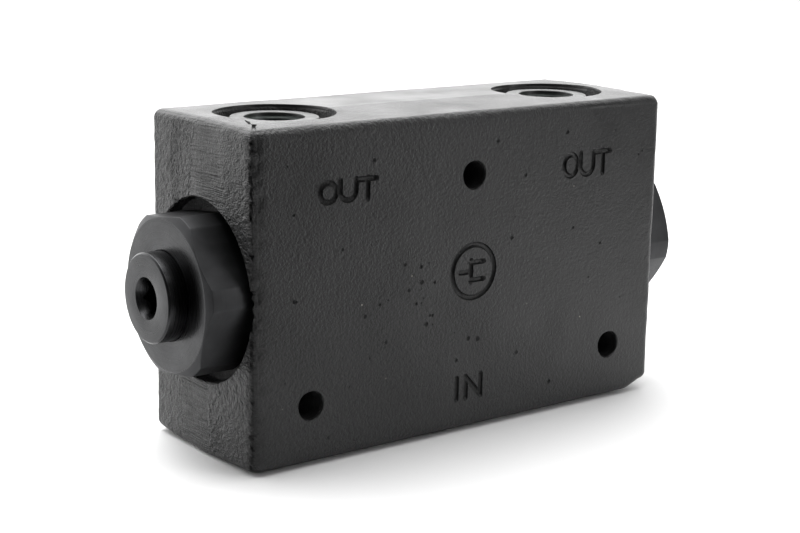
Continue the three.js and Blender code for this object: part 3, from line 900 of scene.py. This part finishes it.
def spool_piece():
    spool = turned("spool_ground", spool_outline, MANY, closed=True)
    tools = []
    for x, radius in SPOOL_HOLES:
        for y, z in ((PAST_SPOOL, 0), (0, PAST_SPOOL)):
            path = [(x, -y, AXIS - z), (x, y, AXIS + z)]
            tools.append(sweep("hole", path, radius, (1, 0, 0), sides=32))
    return cut_from(spool, tools)


# ---- The plugs ----

def plug_outline(angle):
    rim = TOP - 0.85
    stem_top = rim - 1.65
    stem_end = stem_top - 12
    ribs = []
    for level in (3.0, 5.5, 8.0):
        z = stem_end + level
        radius = 8.15 + 0.04 * level
        ribs += [(z - 0.35, radius, 0.1), (z, radius + 0.18, 0.15), (z + 0.35, radius, 0.1)]
    return [
        (stem_end, 0, 0), (stem_end, 8.0, 0.6),
        *ribs,
        (stem_top, 8.55, 0.25), (stem_top, 11.07, 0.3), (rim, 11.07, 0.45), (rim, 7.5, 0.4),
        (stem_end + 1.3, 7.1, 0.6), (stem_end + 1.3, 1.0, 0.1), (stem_end + 1.7, 0.8, 0.15),
        (stem_end + 1.7, 0, 0),
    ]


# ---- Materials ----

class Nodes:
    """A node tree, with short ways to add nodes."""

    def __init__(self, tree):
        self.tree = tree

    def node(self, kind, links=(), values=(), **settings):
        """Adds a shader node. links and values give its inputs by name or number."""
        made = self.tree.nodes.new("ShaderNode" + kind)
        for setting, value in settings.items():
            setattr(made, setting, value)
        for key, value in dict(values).items():
            made.inputs[key].default_value = value
        for key, source in dict(links).items():
            if isinstance(source, (int, float)):
                made.inputs[key].default_value = source
            else:
                self.tree.links.new(source, made.inputs[key])
        return made

    def between(self, source, low, high, new_low, new_high, change="LINEAR"):
        """Maps one range of numbers to another."""
        values = {"From Min": low, "From Max": high, "To Min": new_low, "To Max": new_high}
        made = self.node("MapRange", {"Value": source}, values, interpolation_type=change)
        return made.outputs["Result"]

    def maths(self, operation, one, other=0):
        return self.node("Math", {0: one, 1: other}, operation=operation).outputs[0]

    def added(self, one, other):
        return self.maths("ADD", one, other)

    def times(self, one, other):
        return self.maths("MULTIPLY", one, other)


class Surface(Nodes):
    """A material with a principled shader. Its place is the spot on the object, in metres."""

    def __init__(self, name, **values):
        self.material = bpy.data.materials.new(name)
        self.material.use_nodes = True
        super().__init__(self.material.node_tree)
        self.shader = self.tree.nodes["Principled BSDF"]
        for socket, value in values.items():
            self.shader.inputs[socket.replace("_", " ")].default_value = value
        self.place = self.node("TexCoord").outputs["Object"]

    def to_shader(self, source, socket):
        self.tree.links.new(source, self.shader.inputs[socket])

    def stretched(self, stretch):
        """The place on the surface, multiplied by a number for each axis."""
        made = self.node("VectorMath", {0: self.place}, {1: stretch}, operation="MULTIPLY")
        return made.outputs[0]

    def about_axis(self):
        """Distance from the valve's axis, and distance along it, for marks left by turning."""
        split = self.node("SeparateXYZ", {0: self.place}).outputs
        height = self.maths("SUBTRACT", split[2], AXIS * MM)
        flat = self.node("CombineXYZ", {0: split[1], 1: height}).outputs[0]
        radius = self.node("VectorMath", {0: flat}, operation="LENGTH").outputs["Value"]
        return self.node("CombineXYZ", {0: radius, 1: split[0]}).outputs[0]

    def noise(self, scale, detail=2.0, place=None):
        values = {"Scale": scale, "Detail": detail}
        return self.node("TexNoise", {"Vector": place or self.place}, values).outputs["Fac"]

    def ramp(self, share, low, high):
        """A colour between two, by a share between 0 and 1."""
        made = self.node("ValToRGB", {"Fac": share})
        for element, colour in zip(made.color_ramp.elements, (low, high)):
            element.color = (*colour, 1)
        return made.outputs["Color"]

    def colour(self, share, low, high):
        self.to_shader(self.ramp(share, low, high), "Base Color")

    def over(self, under, colour, share):
        """A share of one colour over another."""
        values = {7: (*colour, 1)}
        made = self.node("Mix", {0: share, 6: under}, values, data_type="RGBA")
        return made.outputs[2]

    def bump(self, height, strength, distance):
        values = {"Strength": strength, "Distance": distance * MM}
        made = self.node("Bump", {"Height": height}, values)
        self.to_shader(made.outputs["Normal"], "Normal")


PAINT_DARK = (0.0012, 0.0012, 0.0013)
PAINT_LIGHT = (0.0072, 0.0072, 0.0076)
# Rubbed paint with a painted highlight, along the steps beside the ground strips.
PAINT_RUBBED_AND_HIGHLIT = (0.09, 0.09, 0.09)
DUST = (0.34, 0.32, 0.27)


def cast_paint():
    """Satin black paint over sand-cast iron. The grain is coarser on the ends, finer to the right and
    nearly gone on the back half of the top. Bores are dull and have painted shade, the marks have painted
    shade, the left end has two strips left by a coarse grinder, and its front edge is chipped."""
    paint = Surface("cast_paint", IOR=1.47)
    between, times, added = paint.between, paint.times, paint.added

    def above(source, low, high):
        """0 up to low and 1 from high, in millimetres."""
        return between(source, low * MM, high * MM, 0, 1)

    def below(source, low, high):
        """1 up to low and 0 from high, in millimetres."""
        return between(source, low * MM, high * MM, 1, 0)

    # Where the surface is on the casting.
    x, y, z = paint.node("SeparateXYZ", {0: paint.place}).outputs
    off_middle = paint.maths("ABSOLUTE", x)
    depth = paint.maths("ABSOLUTE", y)
    at_end = above(off_middle, 65.2, 65.6)
    left = below(x, -65.6, -65.2)
    far_top = times(above(z, 82.5, 83), above(y, -1, 1))
    edge = times(below(x, -66.2, -64.3), below(y, -23.6, -19.6))
    flat = times(below(off_middle, 62, 63), times(above(z, 4, 5), below(z, 78.5, 79.5)))
    inside = times(flat, below(depth, 22.2, 22.7))
    sunk = times(flat, below(depth, 22.9, 23.2))
    slanted = added(y, times(z, 1 / 6))
    ground_high = times(above(z, 58, 62), times(below(slanted, 15.3, 15.5), above(y, -12.5, -9.5)))
    ground_low = times(below(z, 19, 23), times(above(y, -3.4, -3.2), below(y, 8, 11)))
    ground = times(left, added(ground_high, ground_low))

    # The relief of the grain, pits, grinder's scratches and chips.
    coarse = paint.noise(1050, 4)
    peel = paint.noise(2100, 3)
    pitted = paint.noise(680, 3)
    patches = paint.noise(60, 3)
    scratches = paint.noise(1, 4, paint.stretched((300, 150, 2100)))
    flakes = paint.noise(1, 4, paint.stretched((1100, 500, 1900)))
    height = added(coarse, times(peel, between(patches, 0.35, 0.65, 0.35, 0.8)))
    relief = times(between(x, -0.066, 0.066, 0.95, 0.24), between(at_end, 0, 1, 1.0, 2.2))
    relief = times(added(relief, times(far_top, -0.6)), between(ground, 0, 1, 1.0, 0.35))
    height = added(times(height, relief), times(scratches, times(ground, 3.2)))
    height = added(height, times(pitted, times(at_end, between(ground, 0, 1, 3.0, 0.6))))
    paint.bump(added(height, times(flakes, times(edge, 7.0))), 1.0, 0.38)

    # The gloss.
    gloss = between(patches, 0.3, 0.7, 0.33, 0.45)
    dull = added(times(edge, 0.1), times(inside, 0.4))
    paint.to_shader(added(gloss, dull), "Roughness")

    # The colour: painted shade in the grain's dips, the marks, the bores, the grinder's scratches and the
    # chips' cracks, with specks of dust, and rubbed paint with a painted highlight along the steps beside
    # the ground strips.
    # Painted shade in the grain's dips: the paint is darker where the grain sinks.
    grain_dip_shade = between(added(coarse, peel), 0.75, 1.15, 0.35, 1.0)
    chip_crack_shade = times(edge, between(flakes, 0.42, 0.58, 0, 1))
    lines = times(ground, between(scratches, 0.4, 0.5, 1, 0))
    # Painted shade in the sunk marks, the bores, the cracks of the chipped edge and the grinder's
    # scratches.
    painted_shade = added(added(added(sunk, inside), chip_crack_shade), times(lines, 0.8))
    base = paint.ramp(times(grain_dip_shade, between(painted_shade, 0, 1, 1, 0.05)), PAINT_DARK, PAINT_LIGHT)
    dust = paint.node("TexVoronoi", {"Vector": paint.place}, {"Scale": 260}).outputs
    number = paint.node("SeparateColor", {0: dust["Color"]}).outputs[0]
    rare = times(between(number, 0.93, 0.94, 0, 1), between(inside, 0, 0.5, 1, 0))
    specks = times(between(dust["Distance"], 0.03, 0.08, 1, 0), rare)
    # Rubbed paint and a painted highlight along the step edges beside the ground strips.
    step_high = times(times(above(slanted, 15.1, 15.3), below(slanted, 15.5, 15.7)), above(z, 62, 64))
    step_low = times(times(above(y, -3.8, -3.6), below(y, -3.4, -3.2)), times(below(z, 20, 21), 0.5))
    rubbed_and_highlit = times(left, times(added(step_high, step_low), between(patches, 0.35, 0.6, 0.2, 0.9)))
    dusty = paint.over(base, DUST, specks)
    paint.to_shader(paint.over(dusty, PAINT_RUBBED_AND_HIGHLIT, rubbed_and_highlit), "Base Color")
    return paint.material


def black_oxide():
    """Blackened turned steel, with the fine rings of its turning. The cap's hexagon is duller bar, and its
    colour is lifted as painted light on the flats.
    """
    steel = Surface("black_oxide_steel", Metallic=1.0, Anisotropic=0.45)
    turned_place = steel.about_axis()
    rings = steel.noise(5200, 1, turned_place)
    patches = steel.noise(140, 3)
    radius = steel.node("SeparateXYZ", {0: turned_place}).outputs[0]
    bar = steel.between(radius, 0.0187, 0.0189, 0, 1)
    scale = steel.noise(1, 3, steel.stretched((1200, 3200, 3200)))
    steel.bump(steel.added(rings, steel.times(scale, steel.times(bar, 2.5))), 0.14, 0.03)
    gloss = steel.between(rings, 0.3, 0.7, 0.24, 0.34)
    steel.to_shader(steel.added(gloss, steel.times(bar, 0.22)), "Roughness")
    # The hexagon's share lifts its colour: painted light that brightens the flats. The patches are random
    # tone.
    share = steel.added(steel.between(patches, 0.35, 0.65, 0, 0.35), steel.times(bar, 0.35))
    steel.colour(share, (0.029, 0.0293, 0.0304), (0.072, 0.0725, 0.0752))
    tangent = steel.node("Tangent", direction_type="RADIAL", axis="X")
    steel.to_shader(tangent.outputs[0], "Tangent")
    return steel.material


def plug_plastic():
    """Smoky soft plastic, translucent, so that the black port shows through its thin walls."""
    plastic = Surface("plug_polyethylene", IOR=1.34, Transmission_Weight=0.92)
    clouds = plastic.noise(160, 2)
    plastic.colour(plastic.between(clouds, 0.3, 0.7, 0, 1), (0.04, 0.045, 0.043), (0.08, 0.09, 0.085))
    plastic.to_shader(plastic.between(plastic.noise(500, 3), 0.3, 0.7, 0.3, 0.42), "Roughness")
    plastic.bump(plastic.noise(500, 3), 0.15, 0.05)
    return plastic.material


def bare_metal(name, low, high, roughness, marks=2600):
    """A bright metal with turning or grinding marks round the valve's axis."""
    metal = Surface(name, Metallic=1.0, Anisotropic=0.3)
    rings = metal.noise(marks, 2, metal.about_axis())
    patches = metal.noise(220, 3)
    metal.bump(rings, 0.15, 0.02)
    metal.to_shader(metal.between(rings, 0.3, 0.7, roughness * 0.8, roughness * 1.25), "Roughness")
    metal.colour(metal.between(patches, 0.35, 0.65, 0, 1), low, high)
    return metal.material


def moulded(name, low, high, roughness, grain, **values):
    """Rubber or plastic with a faint mould grain."""
    plastic = Surface(name, **values)
    texture = plastic.noise(grain, 3)
    patches = plastic.noise(130, 2)
    plastic.bump(texture, 0.12, 0.05)
    plastic.to_shader(plastic.between(texture, 0.3, 0.7, roughness - 0.06, roughness + 0.06), "Roughness")
    plastic.colour(plastic.between(patches, 0.35, 0.65, 0, 1), low, high)
    return plastic.material


PAINT = cast_paint()
OXIDE = black_oxide()
# Bright steel on the fillets of the caps and adjusters: worn edges, and a painted highlight along them.
EDGE_WEAR_AND_HIGHLIGHT = bare_metal("edge_wear_and_highlight_steel", (0.2, 0.2, 0.21), (0.34, 0.34, 0.35), 0.3)
GROUND = bare_metal("ground_steel_surface", (0.5, 0.51, 0.53), (0.6, 0.61, 0.63), 0.24)
WIRE = bare_metal("oiled_spring_wire", (0.24, 0.25, 0.27), (0.34, 0.35, 0.37), 0.32, 900)
BRASS = bare_metal("turned_brass", (0.55, 0.38, 0.13), (0.66, 0.48, 0.2), 0.26)
RUBBER = moulded("nitrile_rubber", (0.016, 0.016, 0.017), (0.026, 0.026, 0.027), 0.55, 1400)
SEAL = moulded("natural_seal_plastic", (0.74, 0.71, 0.62), (0.8, 0.77, 0.69), 0.45, 900)
PLUG = plug_plastic()


# ---- The valve ----

finished(valve_body(), "valve_body", [PAINT])
finished(spool_piece(), "spool", [GROUND])


def fitted(side, part, obj, *materials):
    """Finishes a piece that was built at the right end, turned half a turn if it is for the left."""
    if side == "left":
        half_turn(obj)
    finished(obj, f"{side}_{part}", materials)


for side in ("left", "right"):
    cap = turned(f"{side}_cap", cap_outline, cap_angles(), closed=True, wear_and_highlight=True, sharp_angle=15)
    fitted(side, "end_cap", cap, OXIDE, EDGE_WEAR_AND_HIGHLIGHT)
    screw = turned(f"{side}_adjuster", adjuster_outline, key_angles(), wear_and_highlight=True, sharp_angle=15)
    fitted(side, "adjuster_screw", screw, OXIDE, EDGE_WEAR_AND_HIGHLIGHT)
    fitted(side, "cap_o_ring", o_ring(f"{side}_cap_seal", *CAP_SEAL), RUBBER)
    fitted(side, "adjuster_o_ring", o_ring(f"{side}_head_seal", *HEAD_SEAL), RUBBER)
    fitted(side, "adjuster_backup_ring", backup_ring(f"{side}_head_backup"), SEAL)
    fitted(side, "adjuster_stop_ring", snap_ring(f"{side}_stop_ring", *STOP_RING, 5), WIRE)
    shim = turned(f"{side}_shim", tube_outline(*SHIM, 0.1), SOME, closed=True)
    fitted(side, "spring_shim", shim, GROUND)
    fitted(side, "spring_seat", spring_seat(f"{side}_seat"), GROUND)
    plate = turned(f"{side}_orifice", orifice_outline, SOME, closed=True)
    fitted(side, "orifice_plate", plate, BRASS)
    clip = snap_ring(f"{side}_orifice_clip", *ORIFICE_CLIP, 4)
    fitted(side, "orifice_snap_ring", clip, WIRE)

    spring = centring_spring(f"{side}_spring")
    spring.data.materials.append(WIRE)
    if side == "left":
        half_turn(spring)
    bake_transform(spring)
    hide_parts(f"{side}_centring_spring")

for index, name in enumerate(("left_out", "right_out", "in")):
    plug = at_port(index, turned(f"{name}_plug", plug_outline, MANY, axis="z"))
    finished(plug, f"{name}_port_plug", [PLUG])


# ---- The studio ----

def floor():
    """A pale studio floor with a faint grain."""
    surface = Surface("studio_floor", Roughness=0.85)
    surface.colour(surface.noise(3, 2), (0.9, 0.9, 0.9), (0.915, 0.915, 0.915))
    onwards, across = unit(AZIMUTH, 0), unit(AZIMUTH + 90, 0)
    corners = [(FLOOR_NEAR, -2600), (FLOOR_NEAR, FLOOR_RIGHT), (5000, 2600), (5000, -2600)]
    points = [onwards * ahead + across * aside for ahead, aside in corners]
    made = make_mesh("studio_floor", [(x, y, -0.02) for x, y, _ in points], [(0, 1, 2, 3)])
    made.data.materials.append(surface.material)


def world():
    """A soft studio: bright walls behind the valve, dimmer in front and above, white to the camera."""
    made = bpy.data.worlds.new("studio")
    made.use_nodes = True
    bpy.context.scene.world = made
    made.node_tree.nodes.clear()
    sky = Nodes(made.node_tree)
    place = sky.node("TexCoord").outputs["Generated"]
    towards = {1: unit(WORLD_AZIMUTH, 0)}
    behind = sky.node("VectorMath", {0: place}, towards, operation="DOT_PRODUCT").outputs["Value"]
    strength = sky.between(behind, -0.4, 0.8, WORLD_FRONT, WORLD_BACK, "SMOOTHSTEP")
    height = sky.node("SeparateXYZ", {0: place}).outputs[2]
    overhead = sky.between(height, 0.3, 0.62, 1.0, 0.75, "SMOOTHSTEP")
    white = {"Color": (1, 1, 1, 1)}
    studio = sky.node("Background", {"Strength": sky.times(strength, overhead)}, white)
    seen = sky.node("Background", {"Strength": 1.1}, white)
    ray = sky.node("LightPath").outputs["Is Camera Ray"]
    mixed = sky.node("MixShader", {0: ray, 1: studio.outputs[0], 2: seen.outputs[0]})
    sky.node("OutputWorld", {0: mixed.outputs[0]})


def soft_light(name, azimuth, elevation, distance, size, power):
    """A square area light that points at the valve."""
    lamp = bpy.data.lights.new(name, "AREA")
    lamp.size = size
    lamp.energy = power
    made = placed(name, lamp)
    way = unit(azimuth, elevation)
    made.location = TARGET + way * distance
    made.rotation_euler = way.to_track_quat("Z", "Y").to_euler()


floor()
world()
soft_light("key_light", azimuth=0, elevation=70, distance=1.2, size=1.1, power=17)
soft_light("front_fill", azimuth=180, elevation=72, distance=0.62, size=0.45, power=1.2)
soft_light("right_strip", azimuth=146, elevation=17, distance=0.8, size=0.25, power=1.2)
bpy.context.scene.view_settings.view_transform = "Standard"
